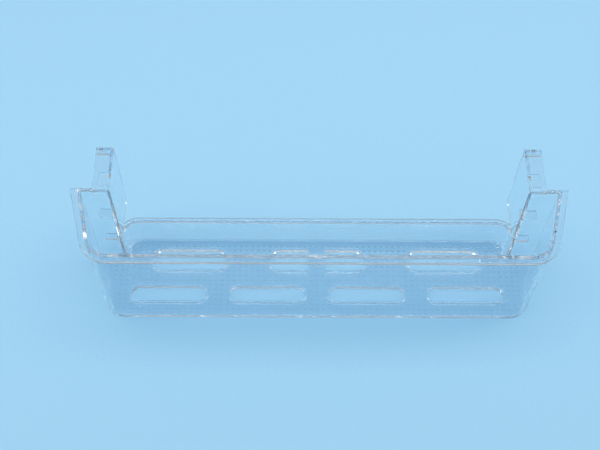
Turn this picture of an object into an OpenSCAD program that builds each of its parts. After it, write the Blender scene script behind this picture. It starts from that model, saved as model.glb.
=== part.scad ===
// Clear moulded door tray: a deep front trough, two shoulders with hook brackets and a slotted floor

/* [Body] */
// Height of the front wall, the side walls and the shoulders
tray_h = 118; // [90:1:150]
// Width across the side walls at the front wall, measured at the foot
front_w = 380; // [320:1:400]
// Width across the side walls at the shoulders, measured at the foot
shoulder_w = 411; // [405:1:460]
// Depth from the front wall's outer face to the shoulders' rear faces
shoulder_d = 65; // [55:1:90]
// Width across the outer faces of the neck between the shoulders
neck_w = 363; // [320:1:375]
// Depth of the neck, from the shoulders' rear faces to the back wall's outer face
neck_d = 20; // [18:1:40]
// Height of the low back wall
back_h = 34; // [20:1:60]
// Thickness of every upright wall
wall_t = 3; // [2:0.1:4]
// Thickness of the floor
floor_t = 3; // [2:0.1:4]
// Outward lean of the front and side walls, in degrees
draft = 0.5; // [0.2:0.1:1.5]

/* [Roundings] */
// Outer radius of the front corners, seen from above
front_r = 20; // [12:0.5:30]
// Outer radius of the rear corners, seen from above
back_r = 17; // [8:0.5:18]
// Outer rounding between the walls and the floor
foot_r = 4; // [2:0.1:4.5]
// Inner fillet between the walls and the floor
heel_r = 2.5; // [1.5:0.1:4]
// Rounding of the rim's inner edge
edge_r = 0.8; // [0.3:0.1:1]

/* [Rim] */
// Overhang of the rim lip beyond the wall
lip_w = 5; // [2:0.1:8]
// Thickness of the rim lip
lip_t = 4; // [3:0.1:6]
// Rounding of the rim lip's outer edges
lip_r = 1.2; // [0.4:0.1:1.4]
// Overhang of the back wall's lip
back_lip_w = 2; // [1.5:0.1:4]

/* [Floor slots] */
// Number of slots in the front row
front_slots = 4; // [2:1:5]
// Spacing of the front slots, centre to centre
front_pitch = 91; // [78:0.5:100]
// Distance from the front wall's outer face to the front row's centre line
front_row_y = 25.5; // [19:0.5:28]
// Width of the openings in the front row
front_slot_w = 14; // [8:0.5:16]
// Spacing of the back slots, centre to centre
back_pitch = 119; // [105:0.5:125]
// Distance from the front wall's outer face to the back row's centre line
back_row_y = 60; // [56:0.5:62]
// Width of the openings in the back row
back_slot_w = 18.8; // [12:0.2:22]
// Length of the openings, apart from the middle one of the back row
slot_l = 68; // [50:1:72]
// Length of the middle opening in the back row, across its bridge
middle_slot_l = 88; // [60:1:100]
// Width of the raised bead round each opening
bead_w = 2.8; // [1.6:0.1:3.4]
// Height of the bead above the floor
bead_h = 2; // [1.5:0.1:4]
// Width of the bridge that crosses the middle opening
bridge_w = 16; // [10:0.5:24]
// Radius of the round moulding boss on the bridge
boss_r = 6.5; // [4:0.1:7.5]
// Height of the moulding boss above the floor
boss_h = 0.8; // [0.4:0.1:1.5]

/* [Hook brackets] */
// Reach of the arms and fins behind the shoulders' rear faces
hook_reach = 43; // [30:1:60]
// Width of the arms, from the fin's inner face outwards
arm_w = 15; // [10:0.5:18]
// Thickness of the arms
arm_t = 3; // [2:0.1:4]
// Depth of the arm's top below the rim
arm_drop = 1.4; // [0.6:0.1:2]
// Height of the lip that hangs from the arm's rear end, arm included
catch_h = 9; // [6:0.5:14]
// Thickness of the hanging lip
catch_t = 3; // [2:0.1:5]
// Height of the fins' lower edges above the base
fin_z = 31; // [24:0.5:50]
// Rounding of the fins' lower rear tips
fin_tip_r = 5; // [2:0.5:8]
// Length of the pad under the arm
pad_l = 13; // [8:0.5:20]
// Width of the pad under the arm
pad_w = 8; // [4:0.5:9]
// Depth of the pad below the arm
pad_h = 1.6; // [0.8:0.1:3]
// Distance from the shoulder's rear face to the pad
pad_gap = 5; // [2:0.5:10]
// Height of the upper ledge's top above the base
upper_ledge_z = 73; // [55:0.5:90]
// Depth of the upper ledge
upper_ledge_d = 9; // [5:0.5:14]
// Height of the lower ledge's top above the base
lower_ledge_z = 35; // [30:0.5:50]
// Depth of the lower ledge
lower_ledge_d = 6; // [4:0.5:12]
// Thickness of both ledges
ledge_t = 3; // [2:0.1:4]

/* [Hidden] */
$fn = 64;
// Reach of the cutting and bounding shapes past the faces that they meet
over = 1;
// Span of the bounding shapes, more than the tray is wide
span = 600;
// Number of flats in a small rounding that is drawn point by point
arc_steps = 4;
// Angle by which the plate's corners stop short of the joints between the walls
arc_gap = 10;
// Angle by which the side walls open towards the shoulders
flare = atan((shoulder_w - front_w) / 2 / shoulder_d);
// Centre of the right front corner
corner_x = front_w / 2 - front_r * (1 - sin(flare)) / cos(flare);
// Rear corner radius, which the neck's own depth limits
rear_r = min(back_r, neck_d - over);
// Depth to the back wall's outer face and to the fins' rear edges
body_d = shoulder_d + neck_d;
hook_d = shoulder_d + hook_reach;
// Inset of the floor plate's edge, inside the walls' own strip of floor
plate_inset = (foot_r + wall_t + heel_r) / 2;
// Lean of the front wall at the rim, and the middle of the tray's whole depth
rim_lean = tray_h * tan(draft);
mid_y = (hook_d - rim_lean - lip_w) / 2;

// Place of a line that leans by angle, at height z
function lean_x(z, angle) = z * tan(angle);
// Centre of a circle of radius r that touches the outer face and the base
function foot_centre(angle) = [lean_x(foot_r, angle) - foot_r / cos(angle), foot_r];
// Centre of a circle that touches the inner face and the floor's top
function heel_centre(angle) =
    [lean_x(floor_t + heel_r, angle) - wall_t - heel_r / cos(angle), floor_t + heel_r];
// Centre of a circle that touches the inner face and the top edge at height h
function edge_centre(h, angle) =
    [lean_x(h - edge_r, angle) - wall_t + edge_r / cos(angle), h - edge_r];

// Points of a small arc, from one angle to another
function arc(centre, r, from, to) =
    [for (i = [0 : arc_steps]) let (a = from + (to - from) * i / arc_steps)
        centre + r * [cos(a), sin(a)]];

// Corner between the outer face and the base that the foot's rounding takes away
module foot_cut(angle) {
    c = foot_centre(angle);
    difference() {
        translate([c.x, -over])
            square([foot_r + over, over + foot_r * (1 - sin(angle))]);
        translate(c) circle(r = foot_r);
    }
}

// Section of a lip with rounded outer edges, from the wall's inner face outwards
module lip_section(w) {
    square([w - lip_r, lip_t]);
    translate([0, lip_r]) square([w, lip_t - 2 * lip_r]);
    for (z = [lip_r, lip_t - lip_r]) translate([w - lip_r, z]) circle(r = lip_r);
}

// Section of a wall with its strip of floor. X is 0 at the outer face's foot, and rises outwards
module wall_section(h, angle, lip) {
    top = lean_x(h, angle);
    heel = heel_centre(angle);
    difference() {
        union() {
            polygon([[-wall_t, 0], [0, 0], [top, h],
                     each arc(edge_centre(h, angle), edge_r, 90, 180 - angle)]);
            translate([heel.x, 0]) square([-heel.x - wall_t / 2, floor_t]);
            difference() {
                translate([heel.x, 0])
                    square([-heel.x - wall_t / 2, heel.y - heel_r * sin(angle)]);
                translate(heel) circle(r = heel_r);
            }
            if (lip > 0)
                translate([top - wall_t / 2, h - lip_t]) lip_section(wall_t / 2 + lip);
        }
        foot_cut(angle);
    }
}

// Section of all that lies inside a wall's outer face, used to end one wall at another
module inside_section(h, angle) {
    difference() {
        polygon([[-span / 2, -over], [lean_x(-over, angle), -over],
                 [lean_x(h + over, angle), h + over], [-span / 2, h + over]]);
        translate([0, -over]) foot_cut(angle);
        foot_cut(angle);
    }
}

// Sweeps a section in a straight line from a point. The section's X points to out_angle
module straight(from, out_angle, length) {
    translate(from) rotate([90, 0, out_angle]) linear_extrude(height = length) children();
}

// Sweeps a section round a vertical axis
module corner(centre, radius, start, turn) {
    translate(centre) rotate([0, 0, start]) rotate_extrude(angle = turn)
        translate([radius, 0]) children();
}

// Front wall and its two corners
module front_wall() {
    straight([corner_x, 0], -90, 2 * corner_x) wall_section(tray_h, draft, lip_w);
    for (side = [0, 1]) mirror([side, 0, 0])
        corner([corner_x, front_r], front_r, -90, 90 - flare) wall_section(tray_h, draft, lip_w);
}

// Sweep along the right side wall, from past its shoulder to the front corner
module along_side() {
    end_y = shoulder_d + lip_w + over;
    start_y = front_r * (1 - sin(flare));
    straight([front_w / 2 + end_y * tan(flare), end_y], -flare, (end_y - start_y) / cos(flare))
        children();
}

// Right side wall, ended at the shoulder's rear face
module side_wall() {
    intersection() {
        along_side() wall_section(tray_h, draft, lip_w);
        straight([0, shoulder_d], 90, span) inside_section(tray_h, 0);
    }
}

// Right shoulder, a plate across the trough's rear from the neck to the side wall
module shoulder() {
    intersection() {
        straight([neck_w / 2, shoulder_d], 90, (shoulder_w - neck_w) / 2 + lip_w)
            wall_section(tray_h, 0, 0);
        along_side() inside_section(tray_h, draft);
    }
    // The rounded inner corner, where the shoulder turns into the neck
    translate([neck_w / 2, shoulder_d]) rotate([0, 0, 180]) rotate_extrude(angle = 90)
        mirror([1, 0]) intersection() {
            wall_section(tray_h, 0, 0);
            translate([-span, 0]) square([span, tray_h + over]);
        }
    straight([neck_w / 2, body_d - rear_r], 0, neck_d - rear_r) wall_section(tray_h, 0, 0);
}

// Low back wall and its two corners
module back_wall() {
    straight([rear_r - neck_w / 2, body_d], 90, neck_w - 2 * rear_r)
        wall_section(back_h, 0, back_lip_w);
    for (side = [0, 1]) mirror([side, 0, 0])
        corner([neck_w / 2 - rear_r, body_d - rear_r], rear_r, 0, 90)
            wall_section(back_h, 0, back_lip_w);
}

// Outline of the floor inside the walls' own strips of floor. Its corners only have to run
// within those strips, so they stop short of the strips' joints
module plate_outline() {
    side_x = front_w / 2 - plate_inset / cos(flare);
    rear = shoulder_d - plate_inset;
    for (side = [0, 1]) mirror([side, 0])
        polygon([
            [0, plate_inset],
            each arc([corner_x, front_r], front_r - plate_inset, arc_gap - 90, -flare - arc_gap),
            [side_x + rear * tan(flare), rear],
            each arc([neck_w / 2, shoulder_d], plate_inset, -90 - arc_gap, arc_gap - 180),
            each arc([neck_w / 2, body_d] - rear_r * [1, 1], rear_r - plate_inset,
                     arc_gap, 90 - arc_gap),
            [0, body_d - plate_inset]
        ]);
}

// Rounded slot outline of a given length and width
module slot_outline(l, w) {
    square([l - w, w], center = true);
    for (end = [-1, 1]) translate([end * (l - w) / 2, 0]) circle(d = w);
}

// Upright ring with a rounded crest that lines one slot
module bead(l, w) {
    module crest() {
        translate([w / 2, 0]) square([bead_w, floor_t + bead_h - bead_w / 2]);
        translate([w / 2 + bead_w / 2, floor_t + bead_h - bead_w / 2]) circle(d = bead_w);
    }
    for (end = [0, 1]) rotate([0, 0, 180 * end]) {
        translate([(l - w) / 2, 0, 0]) rotate([0, 0, -90]) rotate_extrude(angle = 180) crest();
        straight([(w - l) / 2, 0], 90, l - w) crest();
    }
}

// Places its children at each slot and tells them its length and width by $l and $w
module at_slots() {
    for (i = [0 : front_slots - 1]) {
        $l = slot_l;
        $w = front_slot_w;
        translate([(i - (front_slots - 1) / 2) * front_pitch, front_row_y, 0]) children();
    }
    for (i = [-1 : 1]) {
        $l = i == 0 ? middle_slot_l : slot_l;
        $w = back_slot_w;
        translate([i * back_pitch, back_row_y, 0]) children();
    }
}

// Floor plate with its beaded slots
module slotted_floor() {
    difference() {
        linear_extrude(height = floor_t) plate_outline();
        at_slots() translate([0, 0, -over]) linear_extrude(height = floor_t + 2 * over)
            slot_outline($l + bead_w, $w + bead_w);
    }
    difference() {
        at_slots() bead($l, $w);
        // The bridge interrupts the bead's crest
        translate([-bridge_w / 2, back_row_y - back_slot_w, floor_t])
            cube([bridge_w, 2 * back_slot_w, bead_h + over]);
    }
}

// Bridge across the middle slot of the back row, with the moulding boss
module bridge() {
    bridge_l = back_slot_w + bead_w;
    translate([-bridge_w / 2, back_row_y - bridge_l / 2, 0]) cube([bridge_w, bridge_l, floor_t]);
    translate([0, back_row_y, 0]) cylinder(r = boss_r, h = floor_t + boss_h);
}

// Upright fin behind the right shoulder, the neck's side wall carried back
module fin() {
    tip = [hook_d - fin_tip_r, fin_z + fin_tip_r];
    translate([neck_w / 2 - wall_t, 0, 0]) rotate([90, 0, 90]) linear_extrude(height = wall_t) {
        translate([shoulder_d, fin_z]) square([tip.x - shoulder_d, tray_h - arm_drop - fin_z]);
        translate([shoulder_d, tip.y]) square([hook_reach, tray_h - arm_drop - tip.y]);
        translate(tip) circle(r = fin_tip_r);
    }
}

// Right hook arm with its hanging lip, its root fillet and the pad under it
module hook_arm() {
    inner_x = neck_w / 2 - wall_t;
    root_y = shoulder_d - wall_t / 2;
    arm_z = tray_h - arm_drop - arm_t;
    translate([inner_x, root_y, arm_z]) cube([arm_w, hook_d - root_y, arm_t]);
    translate([inner_x, hook_d - catch_t, tray_h - arm_drop - catch_h])
        cube([arm_w, catch_t, catch_h]);
    translate([neck_w / 2 - over, shoulder_d + pad_gap, arm_z - pad_h])
        cube([pad_w + over, pad_l, pad_h + over]);
    // Fillet in the step between the shoulder's top and the arm
    translate([inner_x, shoulder_d, tray_h - arm_drop]) rotate([90, 0, 90])
        linear_extrude(height = arm_w) difference() {
            translate([-over, -over]) square(arm_drop + over);
            translate([arm_drop, arm_drop]) circle(r = arm_drop);
        }
}

// Ledge on the right shoulder's rear face, between the fin and the arm's outer edge
module ledge(top_z, depth) {
    inner_x = neck_w / 2 - wall_t / 2;
    root_y = shoulder_d - wall_t / 2;
    translate([inner_x, root_y, top_z - ledge_t])
        cube([arm_w - wall_t / 2, wall_t / 2 + depth, ledge_t]);
}

// The whole tray, one moulding with a mirrored right and left side
module door_tray() {
    color([0.86, 0.93, 0.97, 0.45]) translate([0, -mid_y, 0]) {
        front_wall();
        back_wall();
        slotted_floor();
        bridge();
        for (side = [0, 1]) mirror([side, 0, 0]) {
            side_wall();
            shoulder();
            fin();
            hook_arm();
            ledge(upper_ledge_z, upper_ledge_d);
            ledge(lower_ledge_z, lower_ledge_d);
        }
    }
}

door_tray();
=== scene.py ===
"""Clear moulded door tray for a refrigerator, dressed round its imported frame.

The frame's solid gives every wall, lip, slot and hook. This script copies it into one piece, adds the stud
texture that the mould leaves on the floor, and gives it a clear styrene finish on a plain pale sheet.
"""

import logging
import math
from dataclasses import dataclass, field

import bmesh
import bpy
from mathutils import Matrix, Vector


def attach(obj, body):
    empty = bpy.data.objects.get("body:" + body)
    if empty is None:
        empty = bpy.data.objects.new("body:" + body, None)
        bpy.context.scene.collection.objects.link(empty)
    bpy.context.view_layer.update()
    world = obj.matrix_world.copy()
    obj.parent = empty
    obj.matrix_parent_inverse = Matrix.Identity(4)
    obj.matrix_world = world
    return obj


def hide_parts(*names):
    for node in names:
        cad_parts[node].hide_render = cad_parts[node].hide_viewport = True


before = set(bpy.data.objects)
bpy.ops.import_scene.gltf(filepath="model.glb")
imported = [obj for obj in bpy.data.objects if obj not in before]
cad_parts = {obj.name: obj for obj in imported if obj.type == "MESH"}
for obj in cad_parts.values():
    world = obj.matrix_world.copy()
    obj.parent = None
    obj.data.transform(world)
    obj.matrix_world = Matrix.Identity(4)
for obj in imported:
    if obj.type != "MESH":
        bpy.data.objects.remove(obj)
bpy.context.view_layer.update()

log = logging.getLogger("door_tray")
MM = 0.001
PHOTO_WIDTH = 600
SENSOR_WIDTH_MM = 36.0
SAME_FLAT = 0.99999
ORIGIN_Y_MM = 50.985
STUD_CORNERS = ((-1, -1), (1, -1), (1, 1), (-1, 1))
MIX_A, MIX_B, MIX_RESULT = 6, 7, 2


def linear_colour(code: str) -> tuple[float, float, float, float]:
    """Turns an sRGB hex code into the linear colour that shaders take.

    Args:
        code: Six hex digits after a hash mark.

    Returns:
        Red, green, blue and an alpha of 1.
    """
    parts = [int(code[i:i + 2], 16) / 255 for i in (1, 3, 5)]
    red, green, blue = [p / 12.92 if p <= 0.04045 else ((p + 0.055) / 1.055) ** 2.4 for p in parts]
    return red, green, blue, 1.0


def add_node(tree: bpy.types.NodeTree, kind: str, links: dict | None = None, **settings) -> bpy.types.Node:
    """Adds one node to a tree, with its settings and its links.

    Args:
        tree: Node tree of a material or of the world.
        kind: Blender's name for the node.
        links: Output socket that feeds each named or numbered input.
        settings: Values of attributes, or of inputs, by name with underscores for spaces.

    Returns:
        The new node.
    """
    node = tree.nodes.new(kind)
    for name, value in settings.items():
        socket = node.inputs.get(name.replace("_", " "))
        if socket is not None:
            socket.default_value = value
        else:
            setattr(node, name, value)
    for name, source in (links or {}).items():
        tree.links.new(source, node.inputs[name])
    return node


def empty_tree(owner: bpy.types.Material | bpy.types.World) -> bpy.types.NodeTree:
    """Turns a material's or world's nodes on and clears them."""
    owner.use_nodes = True
    owner.node_tree.nodes.clear()
    return owner.node_tree


def dress_normals(mesh: bpy.types.Mesh, smooth_deg: float) -> None:
    """Shades roundings smoothly and keeps flats flat up to their last edge.

    Each corner's normal is the mean of the faces round it that turn by less than the limit. A face counts by
    the area of the whole flat that it lies on, so a flat isn't tilted by the rounding beside it.

    Args:
        mesh: Mesh to shade.
        smooth_deg: Largest turn between two faces that are shaded as one, in degrees.
    """
    work = bmesh.new()
    work.from_mesh(mesh)
    work.normal_update()
    work.faces.ensure_lookup_table()
    flat_of = [-1] * len(work.faces)
    flat_area = []
    for seed in work.faces:
        if flat_of[seed.index] >= 0:
            continue
        flat_of[seed.index] = len(flat_area)
        todo, area = [seed], 0.0
        while todo:
            face = todo.pop()
            area += face.calc_area()
            for edge in face.edges:
                for other in edge.link_faces:
                    if flat_of[other.index] < 0 and other.normal.dot(seed.normal) > SAME_FLAT:
                        flat_of[other.index] = len(flat_area)
                        todo.append(other)
        flat_area.append(area)
    limit = math.cos(math.radians(smooth_deg))
    normals = []
    for face in work.faces:
        for loop in face.loops:
            total = Vector()
            for other in loop.vert.link_faces:
                if other.normal.dot(face.normal) > limit:
                    total += other.normal * flat_area[flat_of[other.index]]
            normals.append(total.normalized() if total.length else face.normal)
    work.free()
    mesh.polygons.foreach_set("use_smooth", [True] * len(mesh.polygons))
    mesh.normals_split_custom_set(normals)


@dataclass(frozen=True)
class ClearStyrene:
    """General-purpose polystyrene, injection moulded against polished steel.

    It is water clear and very glossy, and bends light strongly, so the eye sees it by its bright and dark
    edges. The melt's flow leaves a long faint ripple in the walls, which breaks up what is seen in the rim.
    """

    name: str = "clear_styrene"
    tint: str = "#F6FAFD"
    shade: str = "#E9F1F6"
    ior: float = 1.57
    gloss_low: float = 0.012
    gloss_high: float = 0.05
    haze_mm: float = 9.0
    haze_from: float = 0.35
    haze_to: float = 0.75
    ripple_mm: float = 26.0
    ripple_height_mm: float = 0.05

    def material(self) -> bpy.types.Material:
        """Builds the finish.

        Returns:
            A material whose glass lets lamps through, so that the sheet under the tray stays lit.
        """
        made = bpy.data.materials.new(self.name)
        tree = empty_tree(made)
        place = add_node(tree, "ShaderNodeTexCoord")
        haze = add_node(tree, "ShaderNodeTexNoise", {"Vector": place.outputs["Object"]},
                        Scale=1 / (self.haze_mm * MM), Detail=3.0)
        gloss = add_node(tree, "ShaderNodeMapRange", {"Value": haze.outputs["Fac"]},
                         From_Min=self.haze_from, From_Max=self.haze_to,
                         To_Min=self.gloss_low, To_Max=self.gloss_high)
        ripple = add_node(tree, "ShaderNodeTexNoise", {"Vector": place.outputs["Object"]},
                          Scale=1 / (self.ripple_mm * MM), Detail=1.0)
        bump = add_node(tree, "ShaderNodeBump", {"Height": ripple.outputs["Fac"]},
                        Strength=1.0, Distance=self.ripple_height_mm * MM)
        body = add_node(tree, "ShaderNodeBsdfPrincipled",
                        {"Roughness": gloss.outputs["Result"], "Normal": bump.outputs["Normal"]},
                        Base_Color=linear_colour(self.tint), IOR=self.ior, Transmission_Weight=1.0)
        lit = add_node(tree, "ShaderNodeBsdfTransparent", Color=linear_colour(self.shade))
        path = add_node(tree, "ShaderNodeLightPath")
        straight = add_node(tree, "ShaderNodeMath",
                            {0: path.outputs["Is Shadow Ray"], 1: path.outputs["Is Diffuse Ray"]},
                            operation="MAXIMUM")
        mixed = add_node(tree, "ShaderNodeMixShader",
                         {0: straight.outputs[0], 1: body.outputs[0], 2: lit.outputs[0]})
        add_node(tree, "ShaderNodeOutputMaterial", {"Surface": mixed.outputs[0]})
        return made


@dataclass(frozen=True)
class PaleSheet:
    """Matt coated paper sheet. It gives an even ground with a faint fibre mottle."""

    name: str = "pale_sheet"
    colour: str = "#9CD0EE"
    mottle: str = "#A3D4F0"
    fibre_mm: float = 3.0
    roughness: float = 0.85

    def material(self) -> bpy.types.Material:
        """Builds the finish."""
        made = bpy.data.materials.new(self.name)
        tree = empty_tree(made)
        place = add_node(tree, "ShaderNodeTexCoord")
        fibre = add_node(tree, "ShaderNodeTexNoise", {"Vector": place.outputs["Object"]},
                         Scale=1 / (self.fibre_mm * MM), Detail=2.0)
        colour = add_node(tree, "ShaderNodeMix", {"Factor": fibre.outputs["Fac"]}, data_type="RGBA")
        colour.inputs[MIX_A].default_value = linear_colour(self.colour)
        colour.inputs[MIX_B].default_value = linear_colour(self.mottle)
        body = add_node(tree, "ShaderNodeBsdfPrincipled", {"Base Color": colour.outputs[MIX_RESULT]},
                        Roughness=self.roughness)
        add_node(tree, "ShaderNodeOutputMaterial", {"Surface": body.outputs[0]})
        return made


@dataclass(frozen=True)
class Slot:
    """One opening in the floor, by its centre, length and width in millimetres."""

    x: float
    y: float
    length: float
    width: float

    def distance(self, x: float, y: float) -> float:
        """Distance of a point from the opening's rounded edge, negative inside it."""
        half = (self.length - self.width) / 2
        along = max(abs(x - self.x) - half, 0.0)
        return math.hypot(along, y - self.y) - self.width / 2


@dataclass
class StudLattice:
    """The floor's moulded texture, small square studs on a regular lattice.

    All sizes are in millimetres. Depths count from the front wall's outer foot.
    """

    pitch_x: float = 5.5
    pitch_y: float = 4.9
    first_y: float = 6.4
    base: float = 3.0
    top: float = 2.0
    height: float = 0.7
    sunk: float = 0.4
    floor_z: float = 3.0
    edge_gap: float = 1.2
    slots: list[Slot] = field(default_factory=list)
    half_front: float = 190.0
    half_rear: float = 205.5
    shoulder_y: float = 65.0
    half_neck: float = 181.5
    rear_y: float = 85.0
    wall_strip: float = 6.5
    corner_r: float = 20.0
    bead: float = 2.8
    front_ease: float = 1.5

    def on_floor(self, x: float, y: float) -> bool:
        """True if a stud centred here stands clear of the walls and the beads."""
        reach = self.base / 2 + self.edge_gap
        side = self.half_front + (self.half_rear - self.half_front) * y / self.shoulder_y
        before_shoulder = y < self.shoulder_y - self.wall_strip
        limit = (side if before_shoulder else self.half_neck) - self.wall_strip
        if abs(x) > limit - reach or not self.wall_strip - self.front_ease < y < self.rear_y - self.wall_strip:
            return False
        inner = self.corner_r - self.wall_strip
        dx = abs(x) + reach - (self.half_front - self.corner_r)
        dy = self.corner_r - (y - reach)
        if dx > 0 and dy > 0 and math.hypot(dx, dy) > inner + reach:
            return False
        return all(s.distance(x, y) > self.bead + reach - self.base / 2 for s in self.slots)

    def centres(self) -> list[tuple[float, float]]:
        """Every place of a stud on the floor."""
        rows = int((self.rear_y - self.first_y) / self.pitch_y) + 1
        half_count = int(self.half_rear / self.pitch_x) + 1
        return [(i * self.pitch_x, self.first_y + j * self.pitch_y)
                for j in range(rows) for i in range(-half_count, half_count + 1)
                if self.on_floor(i * self.pitch_x, self.first_y + j * self.pitch_y)]

    def mesh(self, origin_y: float) -> bpy.types.Mesh:
        """Builds all studs as closed blocks that reach into the floor.

        Args:
            origin_y: Depth of the frame's origin behind the front wall's outer foot.

        Returns:
            One mesh of separate closed studs, in metres.
        """
        vertices, faces = [], []
        levels = ((self.base, self.floor_z - self.sunk), (self.base, self.floor_z),
                  (self.top, self.floor_z + self.height))
        sides = len(STUD_CORNERS)
        for x, y in self.centres():
            start = len(vertices)
            for width, z in levels:
                vertices += [((x + sx * width / 2) * MM, (y - origin_y + sy * width / 2) * MM, z * MM)
                             for sx, sy in STUD_CORNERS]
            faces.append([start + k for k in reversed(range(sides))])
            for ring in range(len(levels) - 1):
                low = start + sides * ring
                faces += [[low + k, low + (k + 1) % sides, low + sides + (k + 1) % sides, low + sides + k]
                          for k in range(sides)]
            faces.append([start + sides * (len(levels) - 1) + k for k in range(sides)])
        made = bpy.data.meshes.new("studs")
        made.from_pydata(vertices, [], faces)
        return made


@dataclass
class DoorTray:
    """The whole moulding, copied from the frame's solid."""

    weld: float = 1e-8
    smooth_deg: float = 32.0
    slot_length: float = 68.0
    middle_slot_length: float = 88.0
    front_spacing: float = 91.0
    front_row_y: float = 25.5
    front_slot_width: float = 14.0
    back_spacing: float = 119.0
    back_row_y: float = 60.0
    back_slot_width: float = 18.8
    finish: ClearStyrene = field(default_factory=ClearStyrene)

    def slots(self) -> list[Slot]:
        """The seven openings in the floor."""
        front = [Slot(i * self.front_spacing, self.front_row_y, self.slot_length, self.front_slot_width)
                 for i in (-1.5, -0.5, 0.5, 1.5)]
        back = [Slot(i * self.back_spacing, self.back_row_y,
                     self.slot_length if i else self.middle_slot_length, self.back_slot_width)
                for i in (-1, 0, 1)]
        return front + back

    def build(self) -> bpy.types.Object:
        """Copies the solid, joins the studs to its floor and dresses it.

        Returns:
            The piece that stands for the frame's node.
        """
        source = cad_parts["door_tray"]
        shell = bpy.data.meshes.new("tray")
        work = bmesh.new()
        work.from_mesh(source.data)
        bmesh.ops.remove_doubles(work, verts=work.verts, dist=self.weld)
        work.to_mesh(shell)
        work.free()
        tray = bpy.data.objects.new("tray", shell)
        bpy.context.scene.collection.objects.link(tray)
        lattice = StudLattice(slots=self.slots())
        studs = bpy.data.objects.new("studs", lattice.mesh(ORIGIN_Y_MM))
        bpy.context.scene.collection.objects.link(studs)
        join = tray.modifiers.new("join", "BOOLEAN")
        join.operation, join.solver, join.object = "UNION", "MANIFOLD", studs
        bpy.context.view_layer.update()
        done = bpy.data.meshes.new_from_object(tray.evaluated_get(bpy.context.evaluated_depsgraph_get()))
        tray.modifiers.clear()
        tray.data = done
        bpy.data.objects.remove(studs)
        done.materials.clear()
        done.materials.append(self.finish.material())
        dress_normals(done, self.smooth_deg)
        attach(tray, "root")
        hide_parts("door_tray")
        log.info("tray: %d studs, %d faces", len(lattice.centres()), len(done.polygons))
        return tray


@dataclass(frozen=True)
class SoftBox:
    """One soft lamp that faces the tray, in metres and watts."""

    name: str
    place: tuple[float, float, float]
    size: tuple[float, float]
    power: float


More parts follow.
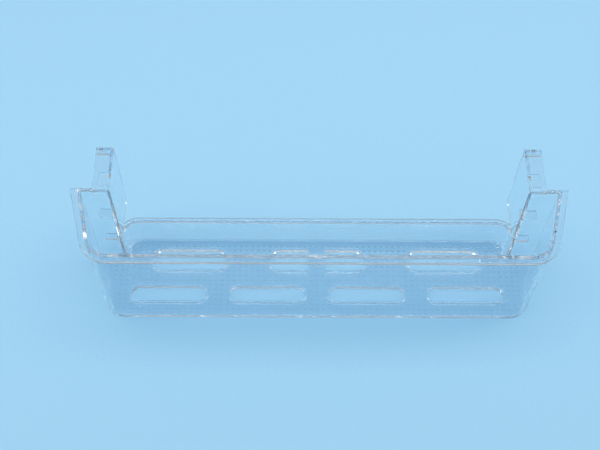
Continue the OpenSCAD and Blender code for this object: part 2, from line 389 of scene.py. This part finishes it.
@dataclass
class Studio:
    """Pale sheet, soft lamps and the camera at the photograph's angle."""

    sheet: PaleSheet = field(default_factory=PaleSheet)
    camera_mm: tuple[float, float, float] = (-21.79, -422.58, 880.81)
    focal_px: float = 1067.43
    pitch_deg: float = 59.344
    yaw_deg: float = 0.654
    roll_deg: float = 0.822
    clip: tuple[float, float] = (0.01, 20.0)
    sheet_radius: float = 3.0
    sheet_gap: float = 0.0002
    boxes: tuple[SoftBox, ...] = (SoftBox("overhead", (0.0, 0.3, 1.7), (2.6, 0.5), 20.0),
                                  SoftBox("left_box", (-1.5, -0.2, 1.0), (0.5, 1.2), 5.0),
                                  SoftBox("right_box", (1.5, 0.3, 1.1), (0.5, 1.2), 5.0))
    room_low: str = "#8F8488"
    room_high: str = "#D9DEE2"
    room_high_at: float = 0.9
    room_strength: float = 0.65
    backdrop: str = "#9CD0EE"
    light_bounces: int = 40

    def ground(self) -> None:
        """Lays the sheet just under the tray's foot."""
        made = bpy.data.meshes.new("sheet")
        work = bmesh.new()
        bmesh.ops.create_circle(work, cap_ends=True, radius=self.sheet_radius, segments=96)
        work.to_mesh(made)
        work.free()
        sheet = bpy.data.objects.new("sheet", made)
        sheet.location.z = -self.sheet_gap
        sheet.data.materials.append(self.sheet.material())
        bpy.context.scene.collection.objects.link(sheet)

    def lamp(self, box: SoftBox) -> None:
        """Hangs one soft box."""
        made = bpy.data.lights.new(box.name, "AREA")
        made.shape = "RECTANGLE"
        made.size, made.size_y = box.size
        made.energy = box.power
        lamp = bpy.data.objects.new(box.name, made)
        lamp.location = box.place
        lamp.rotation_mode = "QUATERNION"
        lamp.rotation_quaternion = (-Vector(box.place)).to_track_quat("-Z", "Y")
        bpy.context.scene.collection.objects.link(lamp)

    def light(self) -> None:
        """Sets the lamps and the room."""
        for box in self.boxes:
            self.lamp(box)
        world = bpy.data.worlds.new("room")
        tree = empty_tree(world)
        place = add_node(tree, "ShaderNodeTexCoord")
        split = add_node(tree, "ShaderNodeSeparateXYZ", {"Vector": place.outputs["Generated"]})
        ramp = add_node(tree, "ShaderNodeValToRGB", {"Fac": split.outputs["Z"]})
        ramp.color_ramp.elements[0].position = 0.0
        ramp.color_ramp.elements[0].color = linear_colour(self.room_low)
        ramp.color_ramp.elements[1].position = self.room_high_at
        ramp.color_ramp.elements[1].color = linear_colour(self.room_high)
        room = add_node(tree, "ShaderNodeBackground", {"Color": ramp.outputs["Color"]}, Strength=self.room_strength)
        seen = add_node(tree, "ShaderNodeBackground", Color=linear_colour(self.backdrop), Strength=1.0)
        path = add_node(tree, "ShaderNodeLightPath")
        mixed = add_node(tree, "ShaderNodeMixShader",
                         {0: path.outputs["Is Camera Ray"], 1: room.outputs[0], 2: seen.outputs[0]})
        add_node(tree, "ShaderNodeOutputWorld", {"Surface": mixed.outputs[0]})
        bpy.context.scene.world = world

    def camera(self) -> None:
        """Places the camera at the photograph's angle."""
        pitch, yaw, roll = (math.radians(a) for a in (self.pitch_deg, self.yaw_deg, self.roll_deg))
        ahead = Vector((math.sin(yaw) * math.cos(pitch), math.cos(yaw) * math.cos(pitch), -math.sin(pitch)))
        right = ahead.cross(Vector((0, 0, 1))).normalized()
        up = right.cross(ahead)
        axes = (right * math.cos(roll) + up * math.sin(roll), up * math.cos(roll) - right * math.sin(roll),
                -ahead)
        x, y, z = self.camera_mm
        made = bpy.data.cameras.new("camera")
        made.sensor_width = SENSOR_WIDTH_MM
        made.lens = self.focal_px * SENSOR_WIDTH_MM / PHOTO_WIDTH
        made.clip_start, made.clip_end = self.clip
        camera = bpy.data.objects.new("camera", made)
        camera.matrix_world = Matrix.Translation(Vector((x, y - ORIGIN_Y_MM, z)) * MM) @ \
            Matrix(axes).transposed().to_4x4()
        bpy.context.scene.collection.objects.link(camera)
        bpy.context.scene.camera = camera

    def build(self) -> None:
        """Sets up the whole stage."""
        self.camera()
        self.ground()
        self.light()
        scene = bpy.context.scene
        scene.view_settings.view_transform = "Standard"
        # Light runs down inside a wall by many total reflections before it leaves at the foot
        for kind in ("max_bounces", "glossy_bounces", "transmission_bounces"):
            setattr(scene.cycles, kind, self.light_bounces)


def main() -> None:
    """Builds the studio and the tray."""
    logging.basicConfig(level=logging.INFO, format="%(name)s: %(message)s")
    Studio().build()
    DoorTray().build()


if __name__ == "__main__":
    main()
